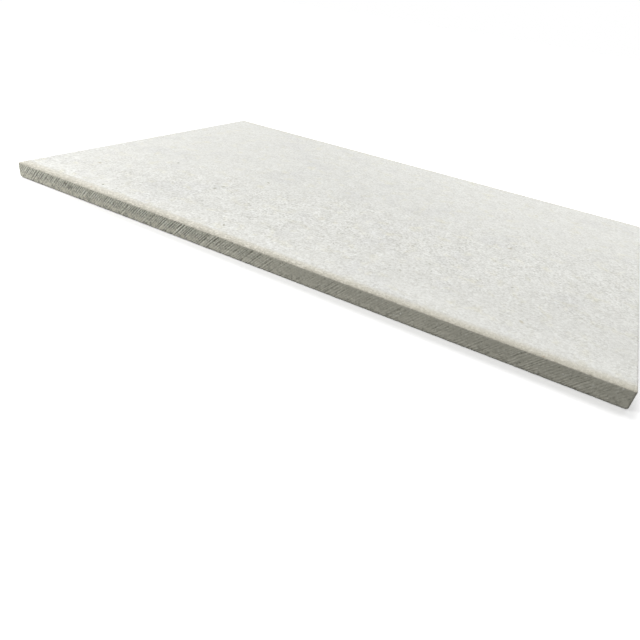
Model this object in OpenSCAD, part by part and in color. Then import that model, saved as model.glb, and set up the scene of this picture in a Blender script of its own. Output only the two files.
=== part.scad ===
// Calcium silicate board: one rectangular piece sawn from a pressed sheet.
// It lies on its underside. The origin is the centre of the underside,
// X runs along the length, Y across the width and Z up through the thickness.
// All sizes are in millimetres.

/* [Board] */
// Length of the board, along X
board_length = 300; // [100:1:1200]
// Width of the board, along Y
board_width = 200; // [60:1:600]
// Thickness of the board
board_thickness = 8; // [5:0.5:25]

/* [Sawn edges] */
// Radius of the four corners in plan, where the saw cuts meet
corner_radius = 0.8; // [0.2:0.1:5]
// Rounding of the arris round the face
face_arris = 0.4; // [0.1:0.1:1.5]
// Rounding of the crumbled arris round the underside
underside_arris = 0.8; // [0.1:0.1:1.5]

/* [Long edge bands] */
// Width of the rubbed band along each long edge of the face
band_width = 6.5; // [2:0.5:20]
// Depth that the face falls across a band, from the flat to the arris
band_fall = 0.25; // [0.05:0.05:1]

/* [Hidden] */
// Facets of a full circle when the model is drawn as a mesh
$fn = 48;
// Colour of the face
face_colour = [0.87, 0.87, 0.84];
half_length = board_length / 2;
half_width = board_width / 2;
// Height of the face's arris on a long edge
long_edge_top = board_thickness - band_fall;
// How far a cutter runs past what it trims
overshoot = 1;

// What a rounding of radius r takes off a corner, in 2D. The corner's tip is
// at the origin, and the material lies towards sx and sy, each 1 or -1.
module rounding_waste(r, sx, sy) {
    span = r + overshoot;
    difference() {
        translate([sx * (r - overshoot) / 2, sy * (r - overshoot) / 2])
            square([span, span], center = true);
        translate([sx * r, sy * r])
            circle(r);
    }
}

// Roundings at both top corners and both bottom corners of a section
module arris_waste(half_span, top) {
    for (side = [-1, 1]) {
        translate([side * half_span, top])
            rounding_waste(face_arris, -side, -1);
        translate([side * half_span, 0])
            rounding_waste(underside_arris, -side, 1);
    }
}

// Section across the width: flat in the middle, falling along both long edges
module width_section() {
    band_inner = half_width - band_width;
    ledge = half_width - face_arris;
    difference() {
        polygon([
            [-half_width, 0],
            [half_width, 0],
            [half_width, long_edge_top],
            [ledge, long_edge_top],
            [band_inner, board_thickness],
            [-band_inner, board_thickness],
            [-ledge, long_edge_top],
            [-half_width, long_edge_top]
        ]);
        arris_waste(half_width, long_edge_top);
    }
}

// Section along the length: square ends with eased arrises
module length_section() {
    difference() {
        translate([-half_length, 0])
            square([board_length, board_thickness]);
        arris_waste(half_length, board_thickness);
    }
}

// Outline in plan, with the four corners eased
module plan_outline() {
    difference() {
        square([board_length, board_width], center = true);
        for (sx = [-1, 1], sy = [-1, 1])
            translate([sx * half_length, sy * half_width])
                rounding_waste(corner_radius, -sx, -sy);
    }
}

// The board: what the three outlines have in common
module board() {
    color(face_colour)
        intersection() {
            rotate([90, 0, 90])
                linear_extrude(board_length, center = true)
                    width_section();
            rotate([90, 0, 0])
                linear_extrude(board_width, center = true)
                    length_section();
            linear_extrude(board_thickness)
                plan_outline();
        }
}

board();
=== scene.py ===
"""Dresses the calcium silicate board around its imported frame.

The board is one piece, so one closed skin stands for its solid. Numpy lays the
skin out from the frame's box, Geometry Nodes cut the saw marks, chips and grain
into it, and three finishes colour the pressed face, the sawn edges and the
underside. All lengths are in metres, and MM turns millimetres into them.
"""

from __future__ import annotations

import logging
import math
from collections.abc import Sequence
from dataclasses import dataclass, field, replace
from enum import Enum, IntEnum
from functools import partial, reduce

import bpy
import numpy as np
from mathutils import Euler, Matrix, Vector


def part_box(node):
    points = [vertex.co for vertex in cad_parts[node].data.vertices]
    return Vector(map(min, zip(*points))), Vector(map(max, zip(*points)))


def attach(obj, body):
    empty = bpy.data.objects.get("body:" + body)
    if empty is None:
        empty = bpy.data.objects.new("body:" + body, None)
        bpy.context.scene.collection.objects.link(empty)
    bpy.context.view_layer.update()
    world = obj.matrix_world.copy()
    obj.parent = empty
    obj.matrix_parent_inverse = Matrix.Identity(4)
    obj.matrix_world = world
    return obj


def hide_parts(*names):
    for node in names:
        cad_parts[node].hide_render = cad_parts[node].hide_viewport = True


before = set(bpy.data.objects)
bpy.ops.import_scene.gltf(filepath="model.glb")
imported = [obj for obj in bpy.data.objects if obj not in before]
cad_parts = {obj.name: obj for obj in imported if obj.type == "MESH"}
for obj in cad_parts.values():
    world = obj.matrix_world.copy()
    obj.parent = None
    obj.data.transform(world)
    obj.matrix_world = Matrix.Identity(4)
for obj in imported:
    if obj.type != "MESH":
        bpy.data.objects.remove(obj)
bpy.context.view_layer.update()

log = logging.getLogger("board")

MM = 0.001
Socket = bpy.types.NodeSocket
Value = float | Socket
Colour = tuple[float, float, float]


class Zone(IntEnum):
    """The parts of the skin, each with its own finish."""

    FACE = 0
    SAWN = 1
    UNDERSIDE = 2


class Lean(Enum):
    """Which way the saw marks lean on an edge, seen from outside it."""

    RIGHT = 1.0
    LEFT = -1.0


class Side(Enum):
    """The edges in the order of the outline."""

    LEFT_END = (180.0, Lean.RIGHT)
    FRONT = (270.0, Lean.RIGHT)
    RIGHT_END = (360.0, Lean.LEFT)
    BACK = (450.0, Lean.LEFT)

    def __init__(self, facing: float, lean: Lean) -> None:
        """Names the angle that the side faces and the lean of its marks."""
        self.facing, self.lean = facing, lean


def srgb(red: float, green: float, blue: float) -> Colour:
    """Turns a display colour into a linear one.

    Args:
        red: Red from 0 to 255.
        green: Green from 0 to 255.
        blue: Blue from 0 to 255.

    Returns:
        The linear colour, from 0 to 1.
    """
    return tuple(
        c / 12.92 if c <= 0.04045 else ((c + 0.055) / 1.055) ** 2.4
        for c in (red / 255, green / 255, blue / 255)
    )


# ---------------------------------------------------------------- node writing


def emptied(owner: bpy.types.Material | bpy.types.World) -> bpy.types.NodeTree:
    """Empties the tree of a material or a world, and returns it."""
    owner.use_nodes = True
    owner.node_tree.nodes.clear()
    return owner.node_tree


@dataclass
class Graph:
    """Writes nodes into one shader tree or geometry tree.

    Attributes:
        tree: The tree that the nodes go into.
    """

    tree: bpy.types.NodeTree

    def node(self, kind: str, inputs: dict[str, object] | None = None, **settings: object) -> bpy.types.Node:
        """Adds a node.

        Args:
            kind: The node's type name.
            inputs: What its inputs are fed, by the inputs' identifiers.
            **settings: Properties to set on it.

        Returns:
            The new node.
        """
        made = self.tree.nodes.new(kind)
        for name, value in settings.items():
            setattr(made, name, value)
        sockets = {socket.identifier: socket for socket in made.inputs}
        for identifier, value in (inputs or {}).items():
            self.feed(sockets[identifier], value)
        return made

    def feed(self, socket: Socket, value: object) -> None:
        """Links a socket into an input, or sets the input's own value.

        Args:
            socket: The input to feed.
            value: A socket, number, vector, colour, text or material.
        """
        if isinstance(value, Socket):
            self.tree.links.new(value, socket)
        elif socket.type == "RGBA":
            socket.default_value = (*value[:3], 1.0)
        else:
            socket.default_value = value

    def math(self, operation: str, *values: Value) -> Socket:
        """Adds a Math node for one or two values and returns its result."""
        inputs = dict(zip(("Value", "Value_001"), values, strict=False))
        return self.node("ShaderNodeMath", inputs, operation=operation).outputs[0]

    def add(self, *values: Value) -> Socket:
        """Returns the sum of two or more values."""
        return reduce(partial(self.math, "ADD"), values)

    def times(self, *values: Value) -> Socket:
        """Returns the product of two or more values."""
        return reduce(partial(self.math, "MULTIPLY"), values)

    def less(self, value: Value, taken: Value) -> Socket:
        """Returns a value less another."""
        return self.math("SUBTRACT", value, taken)

    def over(self, value: Value, divisor: Value) -> Socket:
        """Returns a value divided by another."""
        return self.math("DIVIDE", value, divisor)

    def split(self, vector: Socket) -> tuple[Socket, ...]:
        """Returns the three parts of a vector."""
        return tuple(self.node("ShaderNodeSeparateXYZ", {"Vector": vector}).outputs)

    def join(self, x: Value, y: Value, z: Value) -> Socket:
        """Returns the vector with these parts."""
        return self.node("ShaderNodeCombineXYZ", {"X": x, "Y": y, "Z": z}).outputs[0]

    def vector(self, operation: str, first: Socket, second: Socket) -> Socket:
        """Adds a Vector Math node for two vectors and returns its vector."""
        inputs = {"Vector": first, "Vector_001": second}
        return self.node("ShaderNodeVectorMath", inputs, operation=operation).outputs["Vector"]

    def scaled(self, vector: Socket, gain: Value) -> Socket:
        """Returns a vector or a colour times a number."""
        inputs = {"Vector": vector, "Scale": gain}
        return self.node("ShaderNodeVectorMath", inputs, operation="SCALE").outputs["Vector"]

    def length(self, vector: Socket) -> Socket:
        """Returns the length of a vector."""
        return self.node("ShaderNodeVectorMath", {"Vector": vector}, operation="LENGTH").outputs["Value"]

    def blend(self, share: Value, below: Colour | Socket, above: Colour | Socket) -> Socket:
        """Mixes a colour over another.

        Args:
            share: How much of the upper colour shows.
            below: The lower colour.
            above: The upper colour.

        Returns:
            The mixed colour.
        """
        inputs = {"Factor_Float": share, "A_Color": below, "B_Color": above}
        made = self.node("ShaderNodeMix", inputs, data_type="RGBA")
        return next(s for s in made.outputs if s.identifier == "Result_Color")

    def stored(self, name: str, kind: str) -> Socket:
        """Reads an attribute of the mesh in a geometry tree, by its name and data type."""
        return self.node("GeometryNodeInputNamedAttribute", {"Name": name}, data_type=kind).outputs[0]


@dataclass(frozen=True)
class Ramp:
    """A value that changes from one end of a range to the other.

    Attributes:
        start: Where the range starts, which may lie above its end.
        end: Where the range ends.
        first: The value up to the start.
        last: The value from the end on.
        smooth: Eases both ends when true.
    """

    start: Value
    end: Value
    first: float = 0.0
    last: float = 1.0
    smooth: bool = True

    def at(self, graph: Graph, place: Value) -> Socket:
        """Writes the ramp.

        Args:
            graph: The tree to write in.
            place: Where it is read.

        Returns:
            The value there.
        """
        inputs = {"Value": place, "From Min": self.start, "From Max": self.end, "To Min": self.first,
                  "To Max": self.last}
        kind = "SMOOTHSTEP" if self.smooth else "LINEAR"
        return graph.node("ShaderNodeMapRange", inputs, interpolation_type=kind, clamp=True).outputs[0]


@dataclass(frozen=True)
class Pattern:
    """Noise with features of about one size.

    Attributes:
        size: The size of a feature.
        seed: Picks the pattern.
        reach: How far its swing goes.
        ramp: What its share makes of the noise.
        detail: How many finer octaves it has.
        rough: How strong the finer octaves are.
        warp: How far it is bent by itself.
    """

    size: Value
    seed: Value
    reach: float = 1.0
    ramp: Ramp = Ramp(0.0, 1.0)
    detail: float = 3.0
    rough: float = 0.6
    warp: float = 0.0

    def plain(self, graph: Graph, place: Socket) -> Socket:
        """Writes the noise.

        Args:
            graph: The tree to write in.
            place: A position, or a length that the noise runs along.

        Returns:
            The noise, about 0.5 on average.
        """
        inputs = {"Detail": self.detail, "Roughness": self.rough, "Distortion": self.warp}
        if place.type == "VECTOR":
            scale = graph.over(1.0, self.size) if isinstance(self.size, Socket) else 1 / self.size
            inputs |= {"Vector": place, "W": self.seed, "Scale": scale}
            kind = "4D"
        else:
            inputs |= {"W": graph.add(graph.over(place, self.size), self.seed), "Scale": 1.0}
            kind = "1D"
        return graph.node("ShaderNodeTexNoise", inputs, noise_dimensions=kind).outputs[0]

    def swing(self, graph: Graph, place: Socket) -> Socket:
        """Returns the noise about 0, times its reach."""
        return graph.times(graph.less(self.plain(graph, place), 0.5), self.reach)

    def share(self, graph: Graph, place: Socket) -> Socket:
        """Returns what the ramp makes of the noise."""
        return self.ramp.at(graph, self.plain(graph, place))


@dataclass(frozen=True)
class Scatter:
    """Scattered spots of mixed sizes, round or drawn out one way.

    Attributes:
        spacing: The mean distance between places for a spot.
        size: The radius of the largest spot.
        share: The share of places that hold a spot.
        seed: Picks the pattern.
        colour: The colour of the spots.
        strength: How far their middle takes that colour.
        turn: The direction that they are drawn out in, in degrees from X.
        stretch: How many times as long as wide they are.
        core: The part of a spot's radius that is at full strength.
    """

    spacing: float
    size: float
    share: float
    seed: float
    colour: Colour
    strength: float
    turn: float = 0.0
    stretch: float = 1.0
    core: float = 0.4

    def mask(self, graph: Graph, where: Socket) -> Socket:
        """Writes where the spots lie.

        Args:
            graph: The tree to write in.
            where: The position in metres.

        Returns:
            A mask, 1 in the middle of a spot and 0 away from it.
        """
        step = Vector((self.spacing * self.stretch, self.spacing, self.spacing))
        inputs = {"Vector": where, "Rotation": (0, 0, math.radians(self.turn)), "Scale": step}
        laid = graph.node("ShaderNodeMapping", inputs, vector_type="TEXTURE").outputs[0]
        cells = graph.node("ShaderNodeTexVoronoi", {"Vector": laid, "W": self.seed, "Scale": 1.0},
                           voronoi_dimensions="4D", feature="F1").outputs
        chance = graph.split(cells["Color"])[0]
        radius = Ramp(1 - self.share, 1.0, 0.0, self.size / self.spacing, smooth=False).at(graph, chance)
        return Ramp(radius, graph.times(radius, self.core)).at(graph, cells["Distance"])

    def lay(self, graph: Graph, tone: Colour | Socket, *masks: Value) -> Socket:
        """Lays the spots' colour over another.

        Args:
            graph: The tree to write in.
            tone: The colour below.
            *masks: Where the spots lie, and what thins them out.

        Returns:
            The colour with its spots.
        """
        return graph.blend(graph.times(*masks, self.strength), tone, self.colour)


# ------------------------------------------------------------------ the relief


@dataclass(frozen=True)
class SawMarks:
    """The slanted marks that a circular saw leaves on an edge.

    Attributes:
        pitch: The mean distance from mark to mark along the edge.
        slope: How far a mark moves along the edge for each step up it.
        blade_radius: The radius that the marks curve with.
        bends: How the marks bend on their way up the edge.
        strays: How they stray from even spacing.
        even: How strongly the evenly spaced marks show.
        fine: The marks of uneven width, with its size in pitches.
        wide: The wider unevenness, with its size in pitches.
        patches: The patches of fainter and stronger marks along the edge.
        dashes: The breaks in the marks.
        fade: How deep they are by the place along X.
    """

    pitch: float = 1.35 * MM
    slope: float = 0.9
    blade_radius: float = 110 * MM
    bends: Pattern = Pattern(2.2 * MM, 3.7, 0.5 * MM, detail=1.0, rough=0.5)
    strays: Pattern = Pattern(6 * MM, 3.7, 2.5 * MM, detail=2.0, rough=0.5)
    even: float = 0.425
    fine: Pattern = Pattern(1.0, 3.7, 1.3, detail=2.0)
    wide: Pattern = Pattern(2.4, 12.7, 0.35, detail=0.0, rough=0.5)
    patches: Pattern = Pattern(22 * MM, 43.7, ramp=Ramp(0.35, 0.6, 0.8, 1.0), detail=2.0, rough=0.5)
    dashes: Pattern = Pattern(2.4 * MM, 8.7, ramp=Ramp(0.36, 0.6, 0.3, 1.25), detail=1.0, rough=0.5)
    fade: Ramp = Ramp(-50 * MM, 30 * MM, 1.0, 0.35)

    def offset(self, rise: float) -> float:
        """How far along the edge a mark has moved at a height above mid-thickness."""
        return self.slope * rise + rise**2 / (2 * self.blade_radius)

    def height(self, graph: Graph, where: Socket, run: Value, rise: Value, lean: Value,
               pitch: Value) -> Socket:
        """Writes the marks' height pattern.

        Args:
            graph: The tree to write in.
            where: The position in metres.
            run: The distance along the outline, in metres.
            rise: The height above mid-thickness, in metres.
            lean: 1 where the marks lean right and -1 where they lean left.
            pitch: The mean distance from mark to mark, in metres.

        Returns:
            The height, from about 0 in a groove to about 1 on a ridge.
        """
        curved = graph.over(graph.times(rise, rise), 2 * self.blade_radius)
        moved = graph.times(lean, graph.add(graph.times(rise, self.slope), curved))
        bent = graph.times(self.bends.plain(graph, where), self.bends.reach)
        level = graph.add(graph.less(run, moved), bent)
        along = graph.add(level, graph.times(self.strays.plain(graph, level), self.strays.reach))
        passed = graph.over(along, pitch)
        even = graph.times(graph.math("SINE", graph.times(passed, math.tau)), self.even)
        swing = graph.add(even, self.fine.swing(graph, passed), self.wide.swing(graph, passed))
        faded = self.fade.at(graph, graph.split(where)[0])
        strength = graph.times(self.patches.share(graph, run), self.dashes.share(graph, where), faded)
        return graph.add(graph.times(swing, strength), 0.5)


@dataclass(frozen=True)
class Chipping:
    """How one arris is chipped.

    Attributes:
        name: The name of its depth among the relief's inputs.
        depth: The depth of the deepest chip.
        seed: Added to the relief's seed.
        worn: How deep it is chipped by the noise along it.
    """

    name: str
    depth: float
    seed: float
    worn: Ramp


@dataclass(frozen=True)
class Relief:
    """The depths of everything that is cut into the skin.

    Attributes:
        marks: The saw marks of the edges.
        mark_depth: The depth of a saw mark.
        pits: The pits of the edges.
        pit_depth: The depth of a pit.
        chips: The chips along an arris.
        chip_reach: How far a chip reaches from its arris.
        in_grooves: How deep a chip is by the depth of the saw mark it lies in.
        face_arris: The chipping of the arris round the face.
        underside_arris: The crumbling of the arris round the underside.
        grain: The grain of the pressed faces.
        grain_depth: The depth of that grain.
        seed: Picks another set of pits, chips and grain.
    """

    marks: SawMarks = SawMarks()
    mark_depth: float = 0.15 * MM
    pits: Pattern = Pattern(0.9 * MM, 0.0, ramp=Ramp(0.62, 0.8), detail=2.0)
    pit_depth: float = 0.25 * MM
    chips: Pattern = Pattern(2.2 * MM, 0.0, rough=0.65)
    chip_reach: float = 1.1 * MM
    in_grooves: Ramp = Ramp(0.25, 0.85, 0.3, 1.0)
    face_arris: Chipping = Chipping("Face chip depth", 0.35 * MM, 15.0, Ramp(0.54, 0.785, 0.1, smooth=False))
    underside_arris: Chipping = Chipping(
        "Underside chip depth", 0.5 * MM, 37.5, Ramp(0.36, 0.6725, 0.25, smooth=False))
    grain: Pattern = Pattern(2.6 * MM, 0.0, rough=0.55)
    grain_depth: float = 0.05 * MM
    seed: float = 11.0

    def inputs(self) -> dict[str, float]:
        """The named inputs of the tree, with their values."""
        return {
            "Mark pitch": self.marks.pitch,
            "Mark depth": self.mark_depth,
            "Pit depth": self.pit_depth,
            "Pit size": self.pits.size,
            self.face_arris.name: self.face_arris.depth,
            self.underside_arris.name: self.underside_arris.depth,
            "Chip length": self.chips.size,
            "Chip reach": self.chip_reach,
            "Grain depth": self.grain_depth,
            "Grain size": self.grain.size,
            "Seed": self.seed,
        }

    def tree(self, thickness: float, materials: Sequence[bpy.types.Material]) -> bpy.types.NodeTree:
        """Writes the geometry tree that cuts the relief and sets the finishes.

        Args:
            thickness: The thickness of the board, in metres.
            materials: One material for each zone, in the zones' order.

        Returns:
            The tree, with one input for the skin and one for each size.
        """
        tree = bpy.data.node_groups.new("board_relief", "GeometryNodeTree")
        tree.interface.new_socket("Geometry", in_out="INPUT", socket_type="NodeSocketGeometry")
        for name, value in self.inputs().items():
            socket = tree.interface.new_socket(name, in_out="INPUT", socket_type="NodeSocketFloat")
            socket.default_value = value
        tree.interface.new_socket("Geometry", in_out="OUTPUT", socket_type="NodeSocketGeometry")
        graph = Graph(tree)
        given = {s.name: s for s in graph.node("NodeGroupInput").outputs if s.name}
        offset = self.offset(graph, given, thickness)
        flow = graph.node("GeometryNodeSetPosition", {"Geometry": given["Geometry"], "Offset": offset})
        flow = graph.node("GeometryNodeRealizeInstances", {"Geometry": flow.outputs[0]})
        zone = graph.stored("zone", "INT")
        for number, material in enumerate(materials):
            chosen = graph.node("FunctionNodeCompare", data_type="INT", operation="EQUAL")
            for socket, value in zip((s for s in chosen.inputs if s.enabled), (zone, number), strict=True):
                graph.feed(socket, value)
            inputs = {"Geometry": flow.outputs[0], "Selection": chosen.outputs[0], "Material": material}
            flow = graph.node("GeometryNodeSetMaterial", inputs)
        graph.feed(graph.node("NodeGroupOutput").inputs["Geometry"], flow.outputs[0])
        return tree

    def offset(self, graph: Graph, given: dict[str, Socket], thickness: float) -> Socket:
        """Writes how far each point of the skin moves in.

        Args:
            graph: The tree to write in.
            given: The tree's named inputs.
            thickness: The thickness of the board, in metres.

        Returns:
            The move, as a vector.
        """
        run, rise, inset = graph.split(graph.stored("place", "FLOAT_VECTOR"))
        lean, sawn, drop = (graph.stored(name, "FLOAT") for name in ("lean", "sawn", "drop"))
        where = graph.node("GeometryNodeInputPosition").outputs[0]
        seed = given["Seed"]
        mid_rise = graph.less(rise, thickness / 2)
        marks = self.marks.height(graph, where, run, mid_rise, lean, given["Mark pitch"])
        groove = Ramp(0.0, 1.0, smooth=False).at(graph, graph.less(1.0, marks))
        pits = replace(self.pits, size=given["Pit size"], seed=seed).share(graph, where)
        on_edges = graph.times(sawn, graph.add(graph.times(given["Mark depth"], groove),
                                               graph.times(given["Pit depth"], pits)))
        grain = replace(self.grain, size=given["Grain size"], seed=seed).plain(graph, where)
        depth = graph.times(graph.add(on_edges, graph.times(given["Grain depth"], grain)), -1.0)
        inward = graph.scaled(graph.node("GeometryNodeInputNormal").outputs[0], depth)
        chipped = []
        for arris, gap in ((self.face_arris, drop), (self.underside_arris, rise)):
            chips = replace(self.chips, size=given["Chip length"], seed=graph.add(seed, arris.seed))
            worn = arris.worn.at(graph, chips.plain(graph, run))
            near = Ramp(given["Chip reach"], 0.0).at(graph, graph.length(graph.join(inset, gap, 0.0)))
            chipped.append(graph.times(given[arris.name], worn, self.in_grooves.at(graph, groove), near))
        chip_way = graph.stored("chip_way", "FLOAT_VECTOR")
        return graph.vector("ADD", inward, graph.scaled(chip_way, graph.add(*chipped)))


# ---------------------------------------------------------------- the finishes


class Canvas(Graph):
    """The tree of a finish, with the places on the board that its patterns read.

    Attributes:
        half_length: Half the length of the board.
        half_width: Half its width.
        where: The position in metres.
        along: The place along the board.
        across: The place across it.
        lengthwise: The place along it, from the left end at -1 to the right end at 1.
        widthwise: The place across it, from the front edge at -1 to the back edge at 1.
        run: The distance along the outline.
        mid_rise: The height above mid-thickness.
        rise: The height above the underside.
    """

    def __init__(self, tree: bpy.types.NodeTree, size: Vector) -> None:
        """Writes the nodes that read the places.

        Args:
            tree: The material's tree.
            size: The length, width and thickness of the board.
        """
        super().__init__(tree)
        self.half_length, self.half_width = size.x / 2, size.y / 2
        self.where = self.node("ShaderNodeTexCoord").outputs["Object"]
        self.along, self.across, _ = self.split(self.where)
        self.lengthwise = self.over(self.along, self.half_length)
        self.widthwise = self.over(self.across, self.half_width)
        self.run, self.rise, _ = self.split(self.read("place").outputs["Vector"])
        self.mid_rise = self.less(self.rise, size.z / 2)

    def read(self, name: str) -> bpy.types.Node:
        """Adds a node that reads an attribute of the mesh."""
        return self.node("ShaderNodeAttribute", attribute_name=name)


@dataclass(frozen=True)
class Finish:
    """What the finishes share.

    Attributes:
        name: The name of the material.
        rough: Its roughness.
        gloss: Its specular level.
        bump_depth: The depth of its bump.
    """

    name: str
    rough: float = 0.95
    gloss: float = 0.2
    bump_depth: float = 0.3 * MM

    def paint(self, canvas: Canvas) -> tuple[Socket, Socket]:
        """Writes the finish's own patterns.

        Args:
            canvas: The tree to write in.

        Returns:
            The colour, and the height of the bump from 0 to 1.
        """
        raise NotImplementedError

    def material(self, size: Vector) -> bpy.types.Material:
        """Makes the material of the finish.

        Args:
            size: The length, width and thickness of the board.

        Returns:
            The material.
        """
        material = bpy.data.materials.new(self.name)
        canvas = Canvas(emptied(material), size)
        colour, height = self.paint(canvas)
        inputs = {"Strength": 1.0, "Distance": self.bump_depth, "Height": height}
        raised = canvas.node("ShaderNodeBump", inputs).outputs[0]
        inputs = {"Base Color": colour, "Roughness": self.rough, "Normal": raised}
        shader = canvas.node("ShaderNodeBsdfPrincipled", inputs)
        shader.inputs["Specular IOR Level"].default_value = self.gloss
        canvas.node("ShaderNodeOutputMaterial", {"Surface": shader.outputs[0]})
        return material


@dataclass(frozen=True)
class RawCore:
    """The colour of the board's body where its pressed skin is rubbed away.

    Attributes:
        colour: The mean colour.
        pale: The colour of the lime-rich grains.
        dark: The colour of the pores.
        grains: The pattern of the grains.
        pores: The pattern of the pores.
        rust: The rusty grains.
    """

    colour: Colour = srgb(209, 205, 190)
    pale: Colour = srgb(238, 234, 221)
    dark: Colour = srgb(169, 164, 147)
    grains: Pattern = Pattern(1.1 * MM, 5.0, ramp=Ramp(0.46, 0.62), detail=2.0)
    pores: Pattern = Pattern(1.0 * MM, 9.0, ramp=Ramp(0.53, 0.68, 0.0, 0.85), detail=2.0)
    rust: Scatter = Scatter(3.0 * MM, 0.9 * MM, 0.4, 12.0, srgb(190, 160, 128), 0.6)

    def paint(self, canvas: Canvas) -> Socket:
        """Writes the granular raw colour and returns it."""
        tone = canvas.blend(self.grains.share(canvas, canvas.where), self.colour, self.pale)
        tone = canvas.blend(self.pores.share(canvas, canvas.where), tone, self.dark)
        return self.rust.lay(canvas, tone, self.rust.mask(canvas, canvas.where))


TAN = srgb(172, 162, 130)
OLIVE = srgb(158, 155, 134)
SLATE = srgb(156, 154, 141)
WHITE = srgb(242, 241, 236)
BRUISE = srgb(136, 134, 120)
CHIP = srgb(250, 250, 238)


@dataclass(frozen=True)
class Fleck:
    """One speck or stain at a given place, with its sizes in millimetres.

    Attributes:
        along: Its distance from the left end.
        across: Its distance from the front edge, or above the underside if it lies on that edge.
        length: Its length.
        width: Its width.
        turn: Its direction on the face, in degrees from the length of the board.
        colour: Its colour.
        strength: How far its middle takes that colour.
        core: The part of it that is at full strength.
        ragged: The pattern that frays its outline.
    """

    along: float
    across: float
    length: float
    width: float
    turn: float
    colour: Colour
    strength: float
    core: float = 0.2
    ragged: Pattern = Pattern(0.6 * MM, 4.0, ramp=Ramp(0.3, 0.55, 0.6, 1.0), detail=2.0)

    def lay(self, canvas: Canvas, tone: Socket, on_edge: bool) -> Socket:
        """Lays the fleck over a colour.

        Args:
            canvas: The tree to write in.
            tone: The colour below.
            on_edge: True for a fleck on the front edge and false for one on the face.

        Returns:
            The colour with the fleck.
        """
        long, wide = self.length / 2 * MM, self.width / 2 * MM
        along, across = self.along * MM - canvas.half_length, self.across * MM
        if on_edge:
            centre, size = (along, -canvas.half_width, across), (long, long, wide)
        else:
            centre, size = (along, across - canvas.half_width, 0), (long, wide, long)
        inputs = {"Vector": canvas.where, "Location": centre, "Rotation": (0, 0, math.radians(self.turn)),
                  "Scale": size}
        placed = canvas.node("ShaderNodeMapping", inputs, vector_type="TEXTURE").outputs[0]
        x, y, _ = canvas.split(placed)
        apart = canvas.length(placed if on_edge else canvas.join(x, y, 0.0))
        shown = Ramp(self.ragged.share(canvas, canvas.where), self.core, 0.0, self.strength)
        return canvas.blend(shown.at(canvas, apart), tone, self.colour)


FLECKS = (
    Fleck(24, 32, 4.4, 1.9, 10, TAN, 0.75),
    Fleck(52, 9, 2.8, 1.9, -60, SLATE, 1.0),
    Fleck(49, 67, 3.1, 2.0, -70, SLATE, 0.8),
    Fleck(92, 54, 3.9, 2.4, 60, OLIVE, 0.75),
    Fleck(91, 48, 2.7, 2.1, 0, OLIVE, 0.7),
    Fleck(104, 80, 3.5, 1.8, -30, OLIVE, 0.9),
    Fleck(125, 12, 2.7, 1.7, -60, OLIVE, 1.0),
    Fleck(168, 54, 3.1, 1.8, -40, OLIVE, 0.55),
    Fleck(206, 28, 2.9, 1.7, -70, OLIVE, 0.45),
    Fleck(212, 68, 2.3, 1.3, -30, OLIVE, 0.65),
    Fleck(214, 44, 2.9, 1.9, -60, OLIVE, 0.4),
    Fleck(217, 37, 2.1, 1.2, -70, SLATE, 0.6),
    Fleck(240, 76, 2.3, 1.3, -66, SLATE, 0.45),
    Fleck(250, 48, 2.3, 1.4, 35, SLATE, 0.65),
    Fleck(256, 89, 2.4, 1.4, 0, WHITE, 1.0),
    Fleck(259, 20, 3.8, 2.7, -50, TAN, 0.5),
)
EDGE_FLECKS = (
    Fleck(35.4, 5.9, 5.0, 2.4, 0, BRUISE, 0.75),
    Fleck(39.0, 5.2, 5.6, 2.8, 0, BRUISE, 0.75),
    Fleck(37.6, 4.2, 3.6, 2.0, 0, BRUISE, 0.75),
    Fleck(102, 7.1, 1.5, 1.1, 0, BRUISE, 0.75),
    Fleck(216, 2.6, 3.0, 1.2, 0, CHIP, 0.75),
    Fleck(284, 2.1, 2.0, 1.5, 0, CHIP, 0.75),
)


@dataclass(frozen=True)
class RubbedBand:
    """The bands along the long edges, where the face is rubbed to the raw core.

    Attributes:
        core: The raw core.
        width: The width of a band, from the left end at -1 to the right end at 1.
        strays: How its inner side strays.
        fade: How far it fades out to either side, lengthwise.
        worn: How strongly it shows by the distance from the edge.
        arris: Painted shade of the rounded arris, how bright the band is by the distance from the edge.
        plain: How far it loses its grains, lengthwise.
        across: How strongly the bands show, from the front edge at -1 to the back edge at 1.
    """

    core: RawCore = RawCore()
    width: Ramp = Ramp(-0.75, 0.4, 6.2 * MM, 4.8 * MM)
    strays: Pattern = Pattern(1.5 * MM, 6.0, 3.0 * MM, rough=0.65)
    fade: Ramp = Ramp(-0.4, 0.6, 0.7 * MM, 1.8 * MM)
    worn: Ramp = Ramp(5.5 * MM, 1.2 * MM, 0.55, 1.0, smooth=False)
    arris: Ramp = Ramp(0.2 * MM, 3.5 * MM, 0.84, 1.0)
    plain: Ramp = Ramp(-0.1, 0.6, 0.0, 0.5)
    across: Ramp = Ramp(-0.5, 0.5, 1.0, 0.25)

    def lay(self, canvas: Canvas, tone: Socket) -> Socket:
        """Lays the bands over the face.

        Args:
            canvas: The tree to write in.
            tone: The colour of the face.

        Returns:
            The colour with the bands.
        """
        edge_gap = canvas.less(canvas.half_width, canvas.math("ABSOLUTE", canvas.across))
        strayed = canvas.add(edge_gap, self.strays.swing(canvas, canvas.where))
        past = canvas.less(strayed, self.width.at(canvas, canvas.lengthwise))
        fade = self.fade.at(canvas, canvas.lengthwise)
        rubbed = Ramp(fade, canvas.times(fade, -1.0)).at(canvas, past)
        share = canvas.times(rubbed, self.worn.at(canvas, edge_gap), self.across.at(canvas, canvas.widthwise))
        plain = self.plain.at(canvas, canvas.lengthwise)
        core = canvas.blend(plain, self.core.paint(canvas), self.core.colour)
        # The raw core darkens towards the arris as painted shade of its rounding.
        return canvas.blend(share, tone, canvas.scaled(core, self.arris.at(canvas, edge_gap)))


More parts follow.
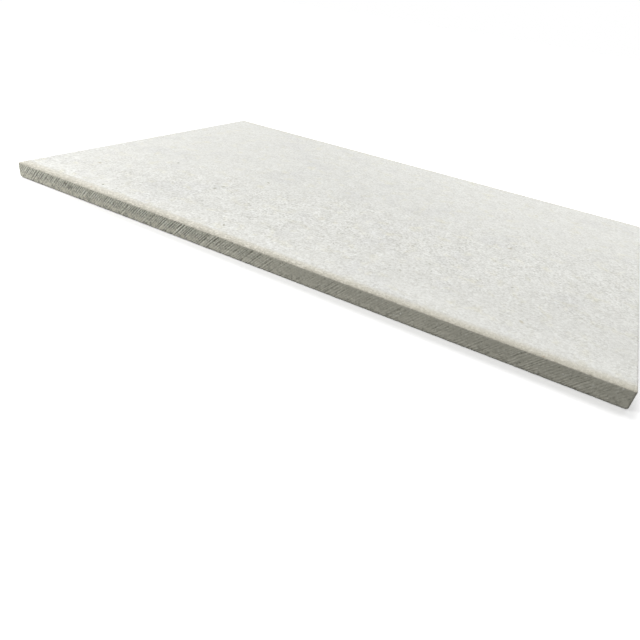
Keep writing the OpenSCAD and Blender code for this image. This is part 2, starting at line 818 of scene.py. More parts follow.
@dataclass(frozen=True)
class PressedFace(Finish):
    """The pale, felt-like face, rubbed to the raw core along the long edges, with painted light and shade.

    Attributes:
        colour: The mean colour of the face.
        warm: The warmer tone of its blotches.
        cool: The cooler tone of its blotches.
        band: The rubbed bands.
        clouds: The pattern of the mean colour in the cooler tone.
        blush: The pattern of the warm blotches.
        felt: The felt.
        tint: How much its red, green and blue swing, so that its dark parts are warm.
        mottle: The wider mottling.
        crinkles: How strong the felt is from place to place.
        streak_slope: How far the streak where the felt is crisp moves across for each step along.
        streak_across: Where the streak crosses the middle of the length, across the board.
        streak: How strong the felt is by the distance from the middle of the streak.
        to_left: How strong it is from the left end at -1 to the middle.
        to_right: How strong it is from the middle to the right end at 1.
        specks: Fine dark, tan and pale specks and fibres.
        ragged: The pattern that frays them.
        painted_front_light: Painted light, how much brighter the face is by the distance from the front edge.
        painted_left_light: Painted light, how much brighter it is near the left end at -1.
        painted_middle_shade: Painted shade, how bright it is by the distance from its darkest place, in
            reaches.
        painted_shade_centre: Where the painted shade is darkest, along and across the board.
        painted_shade_reach: How far the painted shade fades out, along and across the board.
        grit: The fine grit.
        felt_bump: The felt's share of the bump.
        grit_bump: The grit's share of it.
    """

    name: str = "pressed_face"
    rough: float = 0.92
    gloss: float = 0.25
    bump_depth: float = 0.4 * MM
    colour: Colour = srgb(226, 226, 221)
    warm: Colour = srgb(225, 223, 208)
    cool: Colour = srgb(222, 222, 218)
    band: RubbedBand = RubbedBand()
    clouds: Pattern = Pattern(24 * MM, 1.0, ramp=Ramp(0.35, 0.5))
    blush: Pattern = Pattern(8 * MM, 11.0, ramp=Ramp(0.52, 0.72, 0.0, 0.6))
    felt: Pattern = Pattern(1.1 * MM, 2.0, 1.05, warp=0.5)
    tint: Colour = (0.97, 1.0, 1.09)
    mottle: Pattern = Pattern(5 * MM, 3.0, 0.28)
    crinkles: Pattern = Pattern(9 * MM, 4.5, ramp=Ramp(0.35, 0.65, 0.75, 1.2), detail=2.0)
    streak_slope: float = 0.26
    streak_across: float = -50 * MM
    streak: Ramp = Ramp(0.0, 65 * MM, 1.32, 0.84)
    to_left: Ramp = Ramp(-1.0, 0.0, 0.8, 1.0)
    to_right: Ramp = Ramp(0.0, 1.0, 1.0, 0.88)
    specks: tuple[Scatter, ...] = (
        Scatter(9 * MM, 1.1 * MM, 0.3, 1.0, TAN, 0.7, turn=15, stretch=2.4),
        Scatter(12 * MM, 1.1 * MM, 0.35, 4.0, TAN, 0.6, turn=-40, stretch=2.8),
        Scatter(9 * MM, 0.95 * MM, 0.35, 2.0, SLATE, 0.4),
        Scatter(5 * MM, 0.8 * MM, 0.35, 3.0, WHITE, 0.8, turn=70, stretch=1.6),
    )
    ragged: Pattern = Pattern(0.5 * MM, 8.0, ramp=Ramp(0.32, 0.55), detail=2.0)
    painted_front_light: Ramp = Ramp(25 * MM, 7 * MM, 1.0, 1.05)
    painted_left_light: Ramp = Ramp(-1.0, -0.65, 1.03, 1.0)
    painted_middle_shade: Ramp = Ramp(1.0, 0.0, 1.0, 0.965)
    painted_shade_centre: tuple[float, float] = (-15 * MM, 18 * MM)
    painted_shade_reach: tuple[float, float] = (120 * MM, 90 * MM)
    grit: Pattern = Pattern(0.45 * MM, 7.0, detail=2.0)
    felt_bump: float = 0.7
    grit_bump: float = 0.3

    def paint(self, canvas: Canvas) -> tuple[Socket, Socket]:
        """Writes the face's patterns.

        Args:
            canvas: The tree to write in.

        Returns:
            The colour, and the height of the bump from 0 to 1.
        """
        where = canvas.where
        felt, crinkled = self.felt.plain(canvas, where), self.crinkles.share(canvas, where)
        tone = canvas.blend(self.clouds.share(canvas, where), self.cool, self.colour)
        tone = canvas.blend(self.blush.share(canvas, where), tone, self.warm)
        swing = canvas.add(canvas.times(canvas.less(felt, 0.5), crinkled, self.felt.reach),
                           self.mottle.swing(canvas, where))
        swing = canvas.times(self.crispness(canvas), swing)
        gains = canvas.join(*(canvas.add(1.0, canvas.times(swing, share)) for share in self.tint))
        tone = canvas.vector("MULTIPLY", tone, gains)
        ragged = self.ragged.share(canvas, where)
        for speck in self.specks:
            tone = speck.lay(canvas, tone, speck.mask(canvas, where), ragged)
        for fleck in FLECKS:
            tone = fleck.lay(canvas, tone, on_edge=False)
        # The face's colour is scaled by its painted light and shade before the bands go over it.
        tone = self.band.lay(canvas, canvas.scaled(tone, self.painted_light_and_shade(canvas)))
        bump = canvas.add(canvas.times(felt, crinkled, self.felt_bump),
                          canvas.times(self.grit.plain(canvas, where), self.grit_bump))
        return tone, bump

    def crispness(self, canvas: Canvas) -> Socket:
        """Writes how strong the felt is from place to place.

        Args:
            canvas: The tree to write in.

        Returns:
            The factor of its contrast.
        """
        streak = canvas.add(canvas.times(canvas.along, self.streak_slope), self.streak_across)
        apart = canvas.math("ABSOLUTE", canvas.less(canvas.across, streak))
        ends = (ramp.at(canvas, canvas.lengthwise) for ramp in (self.to_left, self.to_right))
        return canvas.times(self.streak.at(canvas, apart), *ends)

    def painted_light_and_shade(self, canvas: Canvas) -> Socket:
        """Writes the light and shade painted on the face: brighter near the front edge and the left end,
        darker in the middle.

        Args:
            canvas: The tree to write in.

        Returns:
            The factor of its colour.
        """
        strip = self.painted_front_light.at(canvas, canvas.add(canvas.across, canvas.half_width))
        end = self.painted_left_light.at(canvas, canvas.lengthwise)
        # Painted shade, darkest at one place in the middle of the face.
        places = zip((canvas.along, canvas.across), self.painted_shade_centre, self.painted_shade_reach, strict=True)
        from_shade_centre = (canvas.over(canvas.less(place, centre), reach) for place, centre, reach in places)
        return canvas.times(strip, end, self.painted_middle_shade.at(canvas, canvas.length(canvas.join(*from_shade_centre, 0.0))))


@dataclass(frozen=True)
class SawnEdge(Finish):
    """The grey sawn edge, with its marks, pores and crumbled foot, painted with highlight and shade on the
    marks and bounced light on the foot.

    Attributes:
        marks: The saw marks, as they are cut into the skin.
        marked: How much they lighten and darken the colour, as painted highlight on the ridges and painted
            shade in the grooves.
        colour: The mean colour.
        ridge_highlight: The pale colour of a ridge between marks, a painted highlight.
        groove: The dark colour down in a mark, painted shade there, which also darkens the broken pattern's
            low spots and the crumbs.
        crumb_and_bounce: The warm, pale colour of the crumbled foot, partly its crumbs and partly painted
            light bounced up from below.
        broken: The pattern that breaks the surface up.
        calm: How strong the pattern is at the faint end of the marks beside the deep end.
        ridge_highlight_share: How far the pale colour, a painted highlight, shows by the pattern's height.
        groove_shade_share: How far the dark colour, a painted shade in the marks, shows by that height.
        clouds: How bright the edge is from place to place.
        grains: The pale grains.
        pores: The open pores.
        foot: How far the crumbled foot shows by the height above the underside.
        foot_strays: How the top of the foot strays.
        foot_strength: How strongly the foot shows.
        crumbs: The pattern of the crumbs.
        bumps: The shares of the marks, the grains and the pores in the bump.
    """

    name: str = "sawn_edge"
    bump_depth: float = 0.25 * MM
    marks: SawMarks = SawMarks()
    marked: float = 0.9
    colour: Colour = srgb(206, 204, 189)
    ridge_highlight: Colour = srgb(240, 240, 228)
    groove: Colour = srgb(153, 152, 138)
    crumb_and_bounce: Colour = srgb(243, 240, 223)
    broken: Pattern = Pattern(1.0 * MM, 15.0, 2.3, rough=0.65)
    calm: float = 0.62
    ridge_highlight_share: Ramp = Ramp(0.52, 0.95)
    groove_shade_share: Ramp = Ramp(0.48, 0.05)
    clouds: Pattern = Pattern(7 * MM, 12.0, ramp=Ramp(0.0, 1.0, 0.85, 1.15, smooth=False))
    grains: Scatter = Scatter(2.0 * MM, 0.65 * MM, 0.5, 6.0, srgb(252, 251, 243), 0.8)
    pores: Scatter = Scatter(2.2 * MM, 0.6 * MM, 0.4, 7.0, srgb(100, 98, 84), 0.4)
    foot: Ramp = Ramp(4.1 * MM, 2.3 * MM)
    foot_strays: Pattern = Pattern(1.4 * MM, 14.0, 3 * MM)
    foot_strength: float = 0.68
    crumbs: Pattern = Pattern(1.6 * MM, 16.0, ramp=Ramp(0.3, 0.56))
    bumps: tuple[float, float, float] = (0.6, 0.2, -0.3)

    def paint(self, canvas: Canvas) -> tuple[Socket, Socket]:
        """Writes the edge's patterns.

        Args:
            canvas: The tree to write in.

        Returns:
            The colour, and the height of the bump from 0 to 1.
        """
        where, lean = canvas.where, canvas.read("lean").outputs["Fac"]
        marks = self.marks.height(canvas, where, canvas.run, canvas.mid_rise, lean, self.marks.pitch)
        calm = replace(self.marks.fade, last=self.calm).at(canvas, canvas.along)
        swing = canvas.add(canvas.times(canvas.less(marks, 0.5), self.marked),
                           self.broken.swing(canvas, where))
        mixed = canvas.add(0.5, canvas.times(swing, calm))
        # Painted highlight on the ridges of the saw marks and painted shade in their grooves, mixed with the
        # edge's random tone.
        tone = canvas.blend(self.ridge_highlight_share.at(canvas, mixed), self.colour, self.ridge_highlight)
        tone = canvas.blend(self.groove_shade_share.at(canvas, mixed), tone, self.groove)
        tone = canvas.scaled(tone, self.clouds.share(canvas, where))
        grains, pores = self.grains.mask(canvas, where), self.pores.mask(canvas, where)
        tone = self.pores.lay(canvas, self.grains.lay(canvas, tone, grains), pores, calm)
        for fleck in EDGE_FLECKS:
            tone = fleck.lay(canvas, tone, on_edge=True)
        # The crumbled foot is painted pale: partly its crumbs, partly painted light bounced up from below.
        foot = self.foot.at(canvas, canvas.add(canvas.rise, self.foot_strays.swing(canvas, where)))
        crumbs = canvas.blend(self.crumbs.share(canvas, where), self.groove, self.crumb_and_bounce)
        tone = canvas.blend(canvas.times(foot, calm, self.foot_strength), tone, crumbs)
        bump = canvas.add(*map(canvas.times, (mixed, grains, pores), self.bumps))
        return tone, bump


@dataclass(frozen=True)
class Underside(Finish):
    """The plainer back of the board, a little warmer and coarser than the face.

    Attributes:
        colour: The mean colour.
        warm: The warmer tone of its blotches.
        clouds: The pattern of the blotches.
        felt: The felt.
        specks: The dark specks.
    """

    name: str = "pressed_underside"
    colour: Colour = srgb(217, 216, 208)
    warm: Colour = srgb(213, 209, 198)
    clouds: Pattern = Pattern(30 * MM, 21.0, ramp=Ramp(0.4, 0.7, 0.0, 0.5), rough=0.55)
    felt: Pattern = Pattern(1.3 * MM, 22.0, 0.6, rough=0.65, warp=0.5)
    specks: Scatter = Scatter(8 * MM, 0.9 * MM, 0.35, 23.0, SLATE, 0.5)

    def paint(self, canvas: Canvas) -> tuple[Socket, Socket]:
        """Writes the underside's patterns.

        Args:
            canvas: The tree to write in.

        Returns:
            The colour, and the height of the bump from 0 to 1.
        """
        where = canvas.where
        tone = canvas.blend(self.clouds.share(canvas, where), self.colour, self.warm)
        felt = self.felt.plain(canvas, where)
        swing = canvas.times(canvas.less(felt, 0.5), self.felt.reach)
        tone = canvas.scaled(tone, canvas.add(1.0, swing))
        return self.specks.lay(canvas, tone, self.specks.mask(canvas, where)), felt


# -------------------------------------------------------------------- the skin


@dataclass(frozen=True)
class Ring:
    """One ring of points round the edge of the skin.

    Attributes:
        inset: How far in from the edge it lies.
        share: Its share of the way up the edge's flat part.
        extra: What is added to its height.
        zone: The zone of the strip that starts at it.
    """

    inset: float
    share: float
    extra: float
    zone: Zone


@dataclass(frozen=True)
class Plate:
    """The grid on the face or the underside.

    Attributes:
        zone: The zone it lies in.
        spacing: The spacing of its points.
        margin: How far in from the edge it starts.
    """

    zone: Zone
    spacing: float
    margin: float


@dataclass
class BoardSkin:
    """The closed skin that stands for the board.

    Attributes:
        length: The length along X.
        width: The width along Y.
        thickness: The thickness along Z.
        corner_radius: The rounding of the corners in plan.
        face_arris: The rounding of the arris round the face.
        underside_arris: The rounding of the arris round the underside.
        band_width: The width of the band where the face falls.
        band_fall: How far it falls there.
        column: The spacing of the columns round the outline.
        face_rings: How far in from the edge the rings on the face lie.
        face_turns: The angles of the rings on the face's arris, in degrees.
        edge_steps: How many steps the edge's flat part is cut into.
        underside_turns: The angles of the rings on the underside's arris, in degrees.
        underside_rings: How far in from the edge the rings on the underside lie.
        plates: The grids on the face and the underside.
        marks_top: How far below the face the saw marks are fully deep, as a share of its arris.
        marks_foot: How far above the underside they stop, as a share of its arris.
        relief: What is cut into the skin.
    """

    length: float
    width: float
    thickness: float
    corner_radius: float = 0.8 * MM
    face_arris: float = 0.4 * MM
    underside_arris: float = 0.8 * MM
    band_width: float = 6.5 * MM
    band_fall: float = 0.25 * MM
    column: float = 0.33 * MM
    face_rings: tuple[float, ...] = (2.2 * MM, 1.3 * MM, 0.75 * MM)
    face_turns: tuple[float, ...] = (0, 30, 60, 90)
    edge_steps: int = 8
    underside_turns: tuple[float, ...] = (0, 22.5, 45, 67.5, 90)
    underside_rings: tuple[float, ...] = (1.5 * MM, 2.6 * MM)
    plates: tuple[Plate, Plate] = (
        Plate(Zone.FACE, 1.8 * MM, 3.1 * MM),
        Plate(Zone.UNDERSIDE, 3.6 * MM, 4.6 * MM),
    )
    marks_top: float = 2.0
    marks_foot: float = 0.25
    relief: Relief = Relief()

    def core_half(self) -> np.ndarray:
        """Half the size of the rectangle through the corner roundings' centres."""
        return np.array([self.length, self.width]) / 2 - self.corner_radius

    def blocks(self) -> tuple[np.ndarray, np.ndarray, float]:
        """How the outline's length is shared out.

        Returns:
            Where each side starts and the last one ends, each side's straight length, and the length
            of one corner's arc.
        """
        half = self.core_half()
        straight = 2 * np.array([half[1], half[0], half[1], half[0]])
        arc = math.pi / 2 * self.corner_radius
        starts = np.concatenate([[0.0], np.cumsum(straight + arc)])
        return starts, straight, arc

    def side_at(self, run: np.ndarray) -> np.ndarray:
        """The number of the side that holds each distance along the outline."""
        starts, _, _ = self.blocks()
        return np.clip(np.searchsorted(starts, run, side="right") - 1, 0, len(Side) - 1)

    def lean_of(self, side: np.ndarray) -> np.ndarray:
        """The lean of the saw marks on sides given by their numbers."""
        return np.array([s.lean.value for s in Side])[side]

    def outline(self, run: np.ndarray) -> tuple[np.ndarray, np.ndarray, np.ndarray]:
        """Finds points of the outline by their distance along it.

        Args:
            run: Distances from the middle of the back left corner, counterclockwise from above.

        Returns:
            For each point, its foot on the rectangle through the corner centres, its outward direction,
            and the number of its side.
        """
        starts, straight, arc = self.blocks()
        run = np.mod(run, starts[-1])
        side = self.side_at(run)
        local = run - starts[side] - arc / 2
        along = np.clip(local, 0, straight[side])
        turn = (local - along) / self.corner_radius
        facing = np.radians([s.facing for s in Side])[side]
        normal = np.stack([np.cos(facing), np.sin(facing)], 1)
        tangent = np.stack([-normal[:, 1], normal[:, 0]], 1)
        half = self.core_half()
        reach = np.where(side % 2 == 0, half[0], half[1])
        foot = normal * reach[:, None] + tangent * (along - straight[side] / 2)[:, None]
        outward = np.stack([np.cos(facing + turn), np.sin(facing + turn)], 1)
        return foot, outward, side

    def face_height(self, across: np.ndarray) -> np.ndarray:
        """The height of the face at a distance across the board."""
        edge_gap = self.width / 2 - np.abs(across)
        share = (self.band_width - edge_gap) / (self.band_width - self.face_arris)
        return self.thickness - self.band_fall * np.clip(share, 0, 1)

    def rings(self) -> list[Ring]:
        """The rings of the rim, from the face over the edge to the underside."""
        top, low = self.face_arris, self.underside_arris
        rings = [Ring(inset, 1.0, top, Zone.FACE) for inset in self.face_rings]
        for turn in np.radians(self.face_turns):
            zone = Zone.FACE if turn < math.pi / 4 else Zone.SAWN
            rings.append(Ring(top * (1 - math.sin(turn)), 1.0, top * math.cos(turn), zone))
        flat = np.linspace(1, 0, self.edge_steps + 1)[1:-1]
        rings += [Ring(0.0, share, 0.0, Zone.SAWN) for share in flat]
        for turn in np.radians(self.underside_turns):
            zone = Zone.SAWN if turn <= math.pi / 4 else Zone.UNDERSIDE
            rings.append(Ring(low * (1 - math.cos(turn)), 0.0, -low * math.sin(turn), zone))
        return rings + [Ring(inset, 0.0, -low, Zone.UNDERSIDE) for inset in self.underside_rings]

    def lean_shift(self, run: np.ndarray, rise: float) -> np.ndarray:
        """How far the columns move along the outline at a height, to follow the saw marks.

        Args:
            run: Distances along the outline.
            rise: A height above the underside.

        Returns:
            The shift of each point, which fades out towards the corners.
        """
        starts, _, _ = self.blocks()
        side = self.side_at(run)
        to_corner = np.minimum(run - starts[side], starts[side + 1] - run)
        fade = np.clip(to_corner / (2 * self.thickness), 0, 1)
        fade = fade * fade * (3 - 2 * fade)
        return self.lean_of(side) * self.relief.marks.offset(rise - self.thickness / 2) * fade

    def rim(self) -> dict[str, np.ndarray]:
        """Lays out the rings round the edge.

        Returns:
            Arrays with a row for each ring and a column for each place on the outline: the points, and
            the run, inset, drop, lean and direction of a chip there.
        """
        perimeter = self.blocks()[0][-1]
        count = round(perimeter / self.column)
        even = np.arange(count) * perimeter / count
        half, low = self.core_half(), self.underside_arris
        rows = []
        for ring in self.rings():
            rough_rise = low + ring.extra + ring.share * (self.thickness - self.face_arris - low)
            run = even + self.lean_shift(even, rough_rise)
            foot, outward, side = self.outline(run)
            plan = foot * (half - ring.inset) / half + outward * self.corner_radius
            at_arris = foot * (half - max(ring.inset, self.face_arris)) / half + outward * self.corner_radius
            top = self.face_height(at_arris[:, 1])
            rise = low + ring.share * (top - self.face_arris - low) + ring.extra
            upright = np.where(rise > self.thickness / 2, 1.0, -1.0)
            rows.append({
                "point": np.column_stack([plan, rise]),
                "run": run,
                "inset": np.full(count, ring.inset),
                "drop": top - rise,
                "lean": self.lean_of(side),
                "chip_way": -np.column_stack([outward, upright]) * math.sqrt(0.5),
            })
        return {name: np.array([row[name] for row in rows]) for name in rows[0]}

    def grid(self, plate: Plate) -> tuple[dict[str, np.ndarray], int, int]:
        """Lays out a plate.

        Args:
            plate: The plate.

        Returns:
            Arrays with a row for each point, row by row along X, named as the rim's are, and the counts
            along X and Y.
        """
        xs, ys = (
            np.linspace(margin - size / 2, size / 2 - margin, round((size - 2 * margin) / plate.spacing) + 1)
            for size, margin in ((self.length, plate.margin), (self.width, plate.margin))
        )
        y, x = (values.reshape(-1) for values in np.meshgrid(ys, xs, indexing="ij"))
        on_face = plate.zone is Zone.FACE
        rise = self.face_height(y) if on_face else np.zeros_like(y)
        values = {
            "point": np.column_stack([x, y, rise]),
            "run": np.zeros(len(x)),
            "inset": np.minimum(self.length / 2 - np.abs(x), self.width / 2 - np.abs(y)),
            "drop": np.full(len(x), 0.0 if on_face else self.thickness),
            "lean": np.ones(len(x)),
            "chip_way": np.zeros((len(x), 3)),
        }
        return values, len(xs), len(ys)

    def plate_border(self, count_x: int, count_y: int) -> tuple[np.ndarray, np.ndarray]:
        """Walks round a plate from its back left corner, counterclockwise from above.

        Args:
            count_x: Its points along X.
            count_y: Its points along Y.

        Returns:
            The number of each border point in the plate, and its distance along the outline.
        """
        number = np.arange(count_x * count_y).reshape(count_y, count_x)
        sides = (number[::-1, 0], number[0, :], number[:, -1], number[-1, ::-1])
        starts, _, _ = self.blocks()
        order, run = [], []
        for side, points in enumerate(sides):
            share = np.linspace(0, 1, len(points))[:-1]
            order.append(points[:-1])
            run.append(starts[side] + share * (starts[side + 1] - starts[side]))
        return np.concatenate(order), np.concatenate(run)

    def build(self, materials: Sequence[bpy.types.Material]) -> bpy.types.Object:
        """Makes the skin, cuts its relief and dresses it.

        Args:
            materials: One material for each zone, in the zones' order.

        Returns:
            The finished piece, a plain mesh.
        """
        piece = self.blank()
        for material in materials:
            piece.data.materials.append(material)
        tree = self.relief.tree(self.thickness, materials)
        modifier = piece.modifiers.new("relief", "NODES")
        modifier.node_group = tree
        sizes = self.relief.inputs()
        for item in tree.interface.items_tree:
            if item.in_out == "INPUT" and item.name in sizes:
                modifier[item.identifier] = sizes[item.name]
        graph = bpy.context.evaluated_depsgraph_get()
        smooth = piece.data
        piece.data = bpy.data.meshes.new_from_object(
            piece.evaluated_get(graph), preserve_all_data_layers=True, depsgraph=graph)
        piece.data.name = piece.name
        for name in ("drop", "sawn", "zone", "chip_way"):
            piece.data.attributes.remove(piece.data.attributes[name])
        piece.modifiers.clear()
        bpy.data.meshes.remove(smooth)
        return piece

    def blank(self) -> bpy.types.Object:
        """Makes the smooth skin with the attributes that the relief and the finishes read."""
        rim = self.rim()
        rows, count = rim["run"].shape
        perimeter = self.blocks()[0][-1]
        parts = [{name: values.reshape(-1, *values.shape[2:]) for name, values in rim.items()}]
        # The rows of the rim run down the edge, so its quads are turned over to face outwards.
        faces = quads(rows, count, closed=True)[:, [0, 3, 2, 1]].tolist()
        zones = np.repeat([ring.zone for ring in self.rings()[:-1]], count).tolist()
        total = rows * count
        for plate, ring in zip(self.plates, (0, rows - 1), strict=True):
            values, count_x, count_y = self.grid(plate)
            on_face = plate.zone is Zone.FACE
            flat = quads(count_y, count_x, closed=False)[:, ::1 if on_face else -1] + total
            border, border_run = self.plate_border(count_x, count_y)
            strip = zip_loops(ring * count + np.arange(count), rim["run"][ring], border + total, border_run,
                              perimeter, flip=not on_face)
            parts.append(values)
            faces += flat.tolist() + strip
            zones += [plate.zone] * (len(flat) + len(strip))
            total += count_x * count_y
        whole = {name: np.concatenate([part[name] for part in parts]) for name in rim}
        mesh = bpy.data.meshes.new("silicate_board")
        mesh.from_pydata(whole["point"].tolist(), [], faces)
        mesh.update()
        corners = np.concatenate(faces)
        corner_run = whole["run"][corners]
        # The quads that close the ring read the run past the seam, not from 0.
        corner_run[:(rows - 1) * count * 4].reshape(rows - 1, count, 4)[:, -1, 2:] += perimeter
        rise = whole["point"][:, 2]
        marked = np.clip(whole["drop"] / (self.marks_top * self.face_arris), 0, 1)
        marked *= rise > self.marks_foot * self.underside_arris
        place = np.column_stack([corner_run, rise[corners], whole["inset"][corners]])
        store(mesh, "place", "FLOAT_VECTOR", "CORNER", place)
        store(mesh, "chip_way", "FLOAT_VECTOR", "POINT", whole["chip_way"])
        for name, values in (("lean", whole["lean"]), ("drop", whole["drop"]), ("sawn", marked)):
            store(mesh, name, "FLOAT", "POINT", values)
        store(mesh, "zone", "INT", "FACE", np.array(zones, dtype=np.int32))
        mesh.shade_smooth()
        piece = bpy.data.objects.new("silicate_board", mesh)
        bpy.context.scene.collection.objects.link(piece)
        return piece


def quads(rows: int, columns: int, closed: bool) -> np.ndarray:
    """Numbers the quads between rows of points.

    Args:
        rows: How many rows there are.
        columns: How many points each row holds.
        closed: True if each row runs back to its start.

    Returns:
        Four point numbers for each quad, the first two along its first row.
    """
    row, column = np.meshgrid(np.arange(rows - 1), np.arange(columns - (not closed)), indexing="ij")
    first, after = row * columns + column, row * columns + (column + 1) % columns
    return np.stack([first, after, after + columns, first + columns], -1).reshape(-1, 4)


def zip_loops(outer: np.ndarray, outer_run: np.ndarray, inner: np.ndarray, inner_run: np.ndarray,
              perimeter: float, flip: bool) -> list[tuple[int, int, int]]:
    """Closes the gap between two loops of unlike counts with triangles.

    Args:
        outer: The point numbers of the outer loop, counterclockwise from above.
        outer_run: Their distances along the outline.
        inner: The point numbers of the inner loop, the same way round.
        inner_run: Their distances along the outline.
        perimeter: The length of the outline.
        flip: True if the triangles face down.

    Returns:
        Three point numbers for each triangle.
    """
    i = j = 0
    made = []
    while i < len(outer) or j < len(inner):
        next_outer = outer_run[i + 1] if i + 1 < len(outer) else perimeter + outer_run[0]
        next_inner = inner_run[j + 1] if j + 1 < len(inner) else perimeter + inner_run[0]
        a, b = int(outer[i % len(outer)]), int(inner[j % len(inner)])
        if j >= len(inner) or (i < len(outer) and next_outer <= next_inner):
            triangle = (a, int(outer[(i + 1) % len(outer)]), b)
            i += 1
        else:
            triangle = (a, int(inner[(j + 1) % len(inner)]), b)
            j += 1
        made.append(triangle[::-1] if flip else triangle)
    return made


def store(mesh: bpy.types.Mesh, name: str, kind: str, domain: str, values: np.ndarray) -> None:
    """Stores an attribute on a mesh.

    Args:
        mesh: The mesh.
        name: The attribute's name.
        kind: Its data type.
        domain: What each value belongs to.
        values: The values, one row for each element.
    """
    made = mesh.attributes.new(name, kind, domain)
    flat = np.ascontiguousarray(values).reshape(-1)
    made.data.foreach_set("vector" if kind == "FLOAT_VECTOR" else "value", flat)


# ------------------------------------------------------------------ the studio


@dataclass(frozen=True)
class Viewpoint:
    """The camera, placed by what it aims at.

    Attributes:
        height: The height of the face.
        along: The place that it aims at in the plane of the face, along the board.
        across: That place across the board.
        distance: How far it stands from there.
        azimuth: Its bearing in degrees, 0 looking along +Y.
        elevation: How far it looks down, in degrees.
        roll: How far it is turned about its view, in degrees.
        lens: Its focal length in millimetres.
        sensor: The width of its sensor in millimetres.
        near: The nearest distance that it sees.
    """

    height: float
    along: float = 49.0 * MM
    across: float = -130.4 * MM
    distance: float = 179.2 * MM
    azimuth: float = 24.27
    elevation: float = 31.44
    roll: float = 8.91
    lens: float = 29.38
    sensor: float = 36.0
    near: float = 10 * MM

    def place(self) -> bpy.types.Object:
        """Makes the camera and returns it."""
        tilt = Euler([math.radians(turn) for turn in (90 - self.elevation, 0, self.azimuth)])
        turned = tilt.to_matrix() @ Matrix.Rotation(math.radians(self.roll), 3, "Z")
        data = bpy.data.cameras.new("camera")
        data.lens = self.lens
        data.sensor_width = self.sensor
        data.clip_start = self.near
        camera = bpy.data.objects.new("camera", data)
        stand = Vector((self.along, self.across, self.height)) + turned.col[2] * self.distance
        camera.matrix_world = Matrix.Translation(stand) @ turned.to_4x4()
        bpy.context.scene.collection.objects.link(camera)
        bpy.context.scene.camera = camera
        return camera


@dataclass(frozen=True)
class SoftLamp:
    """A square soft lamp near the board.

    Attributes:
        name: Its name.
        power: Its power in watts.
        size: The length of its side, in metres.
        at: Where it hangs.
        towards: What it is turned to.
    """

    name: str
    power: float
    size: float
    at: Vector
    towards: Vector

    def hang(self) -> None:
        """Makes the lamp."""
        lamp = bpy.data.lights.new(self.name, "AREA")
        lamp.energy = self.power
        lamp.size = self.size
        hang(lamp, self.at, self.towards)


def hang(lamp: bpy.types.Light, at: Vector, towards: Vector) -> None:
    """Hangs a lamp and turns it towards a point.

    Args:
        lamp: The lamp.
        at: Where it hangs.
        towards: The point.
    """
    hung = bpy.data.objects.new(lamp.name, lamp)
    hung.location = at
    hung.rotation_mode = "QUATERNION"
    hung.rotation_quaternion = (towards - at).to_track_quat("-Z", "Y")
    bpy.context.scene.collection.objects.link(hung)


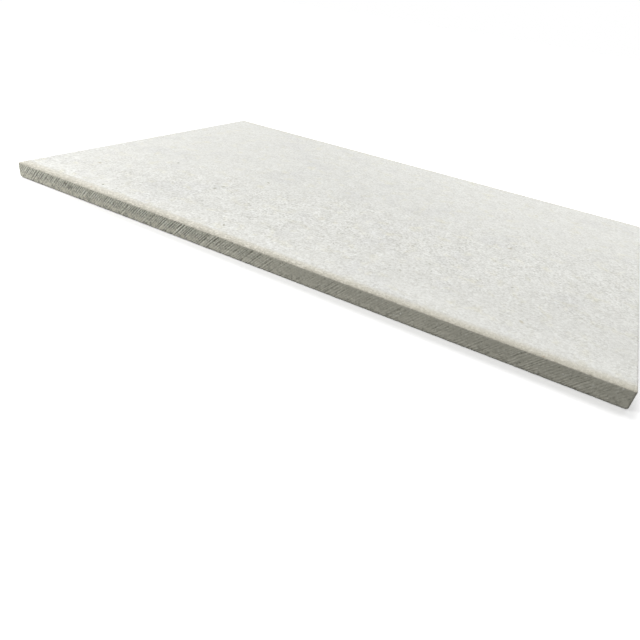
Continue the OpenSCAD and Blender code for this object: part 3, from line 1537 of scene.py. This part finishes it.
@dataclass(frozen=True)
class Studio:
    """A white sweep under soft light from behind and the left.

    Attributes:
        sky: The light of the surroundings on a level surface, 1 being full.
        sun: The light of the key lamp on a level surface.
        sun_from: The direction of the key lamp.
        sun_angle: The apparent size of the key lamp, in degrees.
        lamps: The soft lamps, one low on the left in front and one behind.
        floor_reach: How far the floor runs from its middle.
        floor_tone: How pale the floor is to the light it throws back.
        floor_seen: How pale the floor looks.
        floor_lift: What is added to the look of the floor, so that it is white away from the board.
    """

    sky: float = 0.22
    sun: float = 0.41
    sun_from: Vector = field(default_factory=lambda: Vector((-0.45, 0.6, 0.8)))
    sun_angle: float = 35.0
    lamps: tuple[SoftLamp, ...] = (
        SoftLamp("side", 2.32, 0.3, Vector((-0.495, -0.355, 0.238)), Vector((-0.1, -0.1, 0))),
        SoftLamp("back", 1.05, 0.5, Vector((0.174, 0.37, 0.276)), Vector((0.05, 0.05, 0))),
    )
    floor_reach: float = 6.0
    floor_tone: float = 0.2
    floor_seen: float = 1.0
    floor_lift: float = 0.395

    def seen_directly(self, graph: Graph) -> Socket:
        """Returns 1 for rays from the camera, a mirror or glass, and 0 for the rest."""
        rays = graph.node("ShaderNodeLightPath").outputs
        kinds = (rays[name] for name in ("Is Camera Ray", "Is Glossy Ray", "Is Transmission Ray"))
        return reduce(partial(graph.math, "MAXIMUM"), kinds)

    def light(self) -> None:
        """Makes the surroundings and the lamps."""
        world = bpy.data.worlds.new("white_room")
        bpy.context.scene.world = world
        graph = Graph(emptied(world))
        strength = Ramp(0.0, 1.0, self.sky, 1.0, smooth=False).at(graph, self.seen_directly(graph))
        ground = graph.node("ShaderNodeBackground", {"Color": (1.0, 1.0, 1.0), "Strength": strength})
        graph.node("ShaderNodeOutputWorld", {"Surface": ground.outputs[0]})
        key = bpy.data.lights.new("key", "SUN")
        key.angle = math.radians(self.sun_angle)
        key.energy = self.sun * math.pi / self.sun_from.normalized().z
        hang(key, self.sun_from, Vector())
        for lamp in self.lamps:
            lamp.hang()

    def floor(self) -> bpy.types.Object:
        """Lays the floor and returns it."""
        reach = self.floor_reach
        corners = [(-reach, -reach, 0), (reach, -reach, 0), (reach, reach, 0), (-reach, reach, 0)]
        mesh = bpy.data.meshes.new("floor")
        mesh.from_pydata(corners, [], [(0, 1, 2, 3)])
        material = bpy.data.materials.new("white_floor")
        graph = Graph(emptied(material))
        seen = self.seen_directly(graph)
        colour = graph.blend(seen, (self.floor_tone,) * 3, (self.floor_seen,) * 3)
        paper = graph.node("ShaderNodeBsdfDiffuse", {"Color": colour})
        lift = graph.node("ShaderNodeEmission", {"Strength": graph.times(seen, self.floor_lift)})
        both = graph.node("ShaderNodeAddShader", {"Shader": paper.outputs[0], "Shader_001": lift.outputs[0]})
        graph.node("ShaderNodeOutputMaterial", {"Surface": both.outputs[0]})
        mesh.materials.append(material)
        floor = bpy.data.objects.new("floor", mesh)
        bpy.context.scene.collection.objects.link(floor)
        return floor


# ------------------------------------------------------------------------ main


def main() -> None:
    """Builds the board, its finishes and the studio, in that order."""
    logging.basicConfig(level=logging.INFO, format="%(name)s: %(message)s")
    bpy.context.scene.view_settings.view_transform = "Standard"
    low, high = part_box("board")
    size = high - low
    skin = BoardSkin(*size)
    finishes = (PressedFace(), SawnEdge(marks=skin.relief.marks), Underside())
    piece = skin.build([finish.material(size) for finish in finishes])
    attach(piece, "root")
    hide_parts("board")
    piece.data.calc_loop_triangles()
    log.info("%s: %d triangles", piece.name, len(piece.data.loop_triangles))
    studio = Studio()
    studio.floor()
    studio.light()
    Viewpoint(height=high.z).place()
    log.info("studio and camera in place")


if __name__ == "__main__":
    main()
